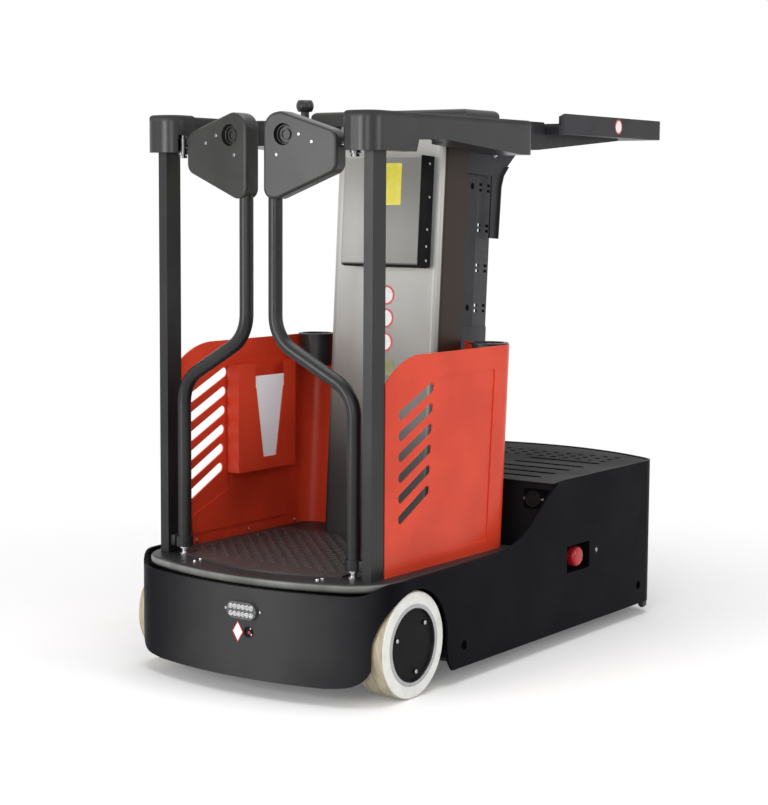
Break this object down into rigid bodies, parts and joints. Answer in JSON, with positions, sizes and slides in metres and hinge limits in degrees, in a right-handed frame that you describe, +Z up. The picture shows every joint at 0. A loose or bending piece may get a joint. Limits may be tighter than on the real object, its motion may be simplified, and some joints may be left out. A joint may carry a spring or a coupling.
{
  "type": "order picker truck",
  "caption": "Compact stand-on order picker truck with a telescopic mast, lifting platform, swing gates, side panels and a goods tray.",
  "frame": {"origin": "on the floor under the middle of the truck's overall length and width", "axes": "+X to the truck's right, +Y from the entry end to the machine end, +Z up"},
  "size_m": [0.752, 1.5038, 1.3965],
  "materials": {
    "black_paint": "satin",
    "mast_steel": "satin",
    "guard_steel": "satin",
    "orange_paint": "semi-gloss",
    "black_plastic": "fine grain",
    "mat_rubber": "studded",
    "cream_tyre": "matt",
    "grey_tyre": "matt",
    "plated_steel": "bright",
    "bare_steel": "brushed",
    "lamp_clear": "clear",
    "stop_red": "gloss",
    "paper_white": "matt",
    "battery_case": "matt"
  },
  "bodies": {
    "chassis": {"chassis_shell": "black_paint", "chassis_floor": "mast_steel", "front_bulkhead": "black_paint", "top_cover": "black_paint", "battery_block": "battery_case", "headlight": "lamp_clear", "stop_pocket": "black_plastic", "stop_button": "stop_red", "key_switch": "plated_steel", "charge_socket": "black_plastic", "outer_mast": "mast_steel", "lift_barrel": "mast_steel", "drive_unit_left": "mast_steel", "drive_unit_right": "mast_steel"},
    "middle_stage": {"middle_mast": "mast_steel", "lift_rod": "plated_steel"},
    "inner_stage": {"inner_mast": "mast_steel"},
    "platform": {"carriage": "black_paint", "deck": "black_paint", "deck_mat": "mat_rubber", "mast_guard": "guard_steel", "control_box": "guard_steel", "console": "black_plastic", "steering_knob": "black_plastic", "goods_tray": "black_paint", "tray_arms": "black_paint", "document_pocket": "orange_paint", "document_sheet": "paper_white", "post_left": "black_paint", "post_right": "black_paint", "pivot_foot_left": "plated_steel", "pivot_foot_right": "plated_steel", "pivot_head_left": "plated_steel", "pivot_head_right": "plated_steel", "side_panel_left": "orange_paint", "side_panel_right": "orange_paint", "cup_left": "black_plastic", "cup_right": "black_plastic", "arm_rest_left": "black_plastic", "arm_rest_right": "black_plastic", "hanger_left": "mast_steel", "hanger_right": "mast_steel"},
    "drive_wheel_left": {"drive_tyre_left": "cream_tyre", "drive_hub_left": "bare_steel", "hub_cover_left": "black_paint"},
    "caster_left": {"caster_fork_left": "bare_steel"},
    "caster_roll_left": {"caster_wheel_left": "grey_tyre"},
    "gate_left": {"gate_tube_left": "black_paint", "gate_pad_left": "black_plastic", "gate_bush_left": "plated_steel"},
    "drive_wheel_right": {"drive_tyre_right": "cream_tyre", "drive_hub_right": "bare_steel", "hub_cover_right": "black_paint"},
    "caster_right": {"caster_fork_right": "bare_steel"},
    "caster_roll_right": {"caster_wheel_right": "grey_tyre"},
    "gate_right": {"gate_tube_right": "black_paint", "gate_pad_right": "black_plastic", "gate_bush_right": "plated_steel"}
  },
  "joints": [
    {"name": "middle_lift", "type": "slide", "parent": "chassis", "child": "middle_stage", "axis": [0, 0.061, 0.9981], "range_m": [0, 0.9]},
    {"name": "inner_lift", "type": "slide", "parent": "middle_stage", "child": "inner_stage", "axis": [0, 0.061, 0.9981], "range_m": [0, 0.9]},
    {"name": "platform_lift", "type": "slide", "parent": "inner_stage", "child": "platform", "axis": [0, 0.061, 0.9981], "range_m": [0, 0.9]},
    {"name": "drive_left_spin", "type": "hinge", "parent": "chassis", "child": "drive_wheel_left", "pos_m": [-0.328, -0.53307, 0.125], "axis": [1, 0, 0], "continuous": true},
    {"name": "caster_left_swivel", "type": "hinge", "parent": "chassis", "child": "caster_left", "pos_m": [-0.28, 0.56993, 0.11], "axis": [0, 0, 1], "continuous": true},
    {"name": "caster_left_spin", "type": "hinge", "parent": "caster_left", "child": "caster_roll_left", "pos_m": [-0.28, 0.59993, 0.05], "axis": [1, 0, 0], "continuous": true},
    {"name": "gate_left_swing", "type": "hinge", "parent": "platform", "child": "gate_left", "pos_m": [-0.254, -0.61207, 0.299], "axis": [0, 0, 1], "range_deg": [0, 85]},
    {"name": "drive_right_spin", "type": "hinge", "parent": "chassis", "child": "drive_wheel_right", "pos_m": [0.328, -0.53307, 0.125], "axis": [1, 0, 0], "continuous": true},
    {"name": "caster_right_swivel", "type": "hinge", "parent": "chassis", "child": "caster_right", "pos_m": [0.28, 0.56993, 0.11], "axis": [0, 0, 1], "continuous": true},
    {"name": "caster_right_spin", "type": "hinge", "parent": "caster_right", "child": "caster_roll_right", "pos_m": [0.28, 0.59993, 0.05], "axis": [1, 0, 0], "continuous": true},
    {"name": "gate_right_swing", "type": "hinge", "parent": "platform", "child": "gate_right", "pos_m": [0.254, -0.61207, 0.299], "axis": [0, 0, -1], "range_deg": [0, 85]}
  ],
  "couplings": [
    {"joint": "inner_lift", "follows": "middle_lift", "ratio": 1},
    {"joint": "platform_lift", "follows": "middle_lift", "ratio": 1}
  ]
}
